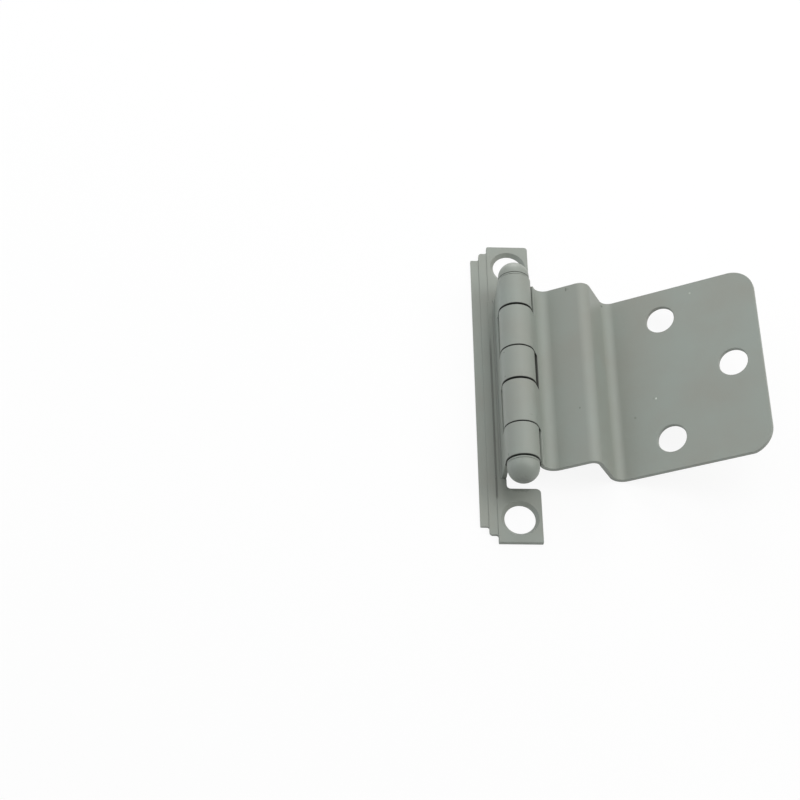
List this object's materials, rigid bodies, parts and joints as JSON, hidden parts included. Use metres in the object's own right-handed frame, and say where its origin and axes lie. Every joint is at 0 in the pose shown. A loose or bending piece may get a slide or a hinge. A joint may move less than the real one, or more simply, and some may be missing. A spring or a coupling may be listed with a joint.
{
  "type": "cranked cabinet hinge",
  "caption": "Cranked inset cabinet hinge: stepped frame leaf with eared ends, offset door leaf and a rolled barrel with bullet finials.",
  "frame": {"origin": "on the frame leaf's mounting face, midway between its two screw holes", "axes": "+Z out of the mounting face on the barrel's side, +Y along the barrel, +X from the barrel towards the door leaf"},
  "size_m": [0.051, 0.0636, 0.0139],
  "materials": {
    "leaf_paint": "satin sage grey paint on stamped sheet steel",
    "finial_paint": "satin sage grey paint on turned tips",
    "pin_steel": "steel pin darkened by paint in the seams"
  },
  "bodies": {
    "frame": {"frame_leaf": "leaf_paint", "hinge_pin": "pin_steel", "finial_near": "finial_paint", "finial_far": "finial_paint"},
    "door": {"door_leaf": "leaf_paint"}
  },
  "joints": [
    {"name": "leaf_swing", "type": "hinge", "parent": "frame", "child": "door", "pos_m": [0.00015, 0, 0.0073], "axis": [0, -1, 0], "range_deg": [-28.4, 150]}
  ]
}
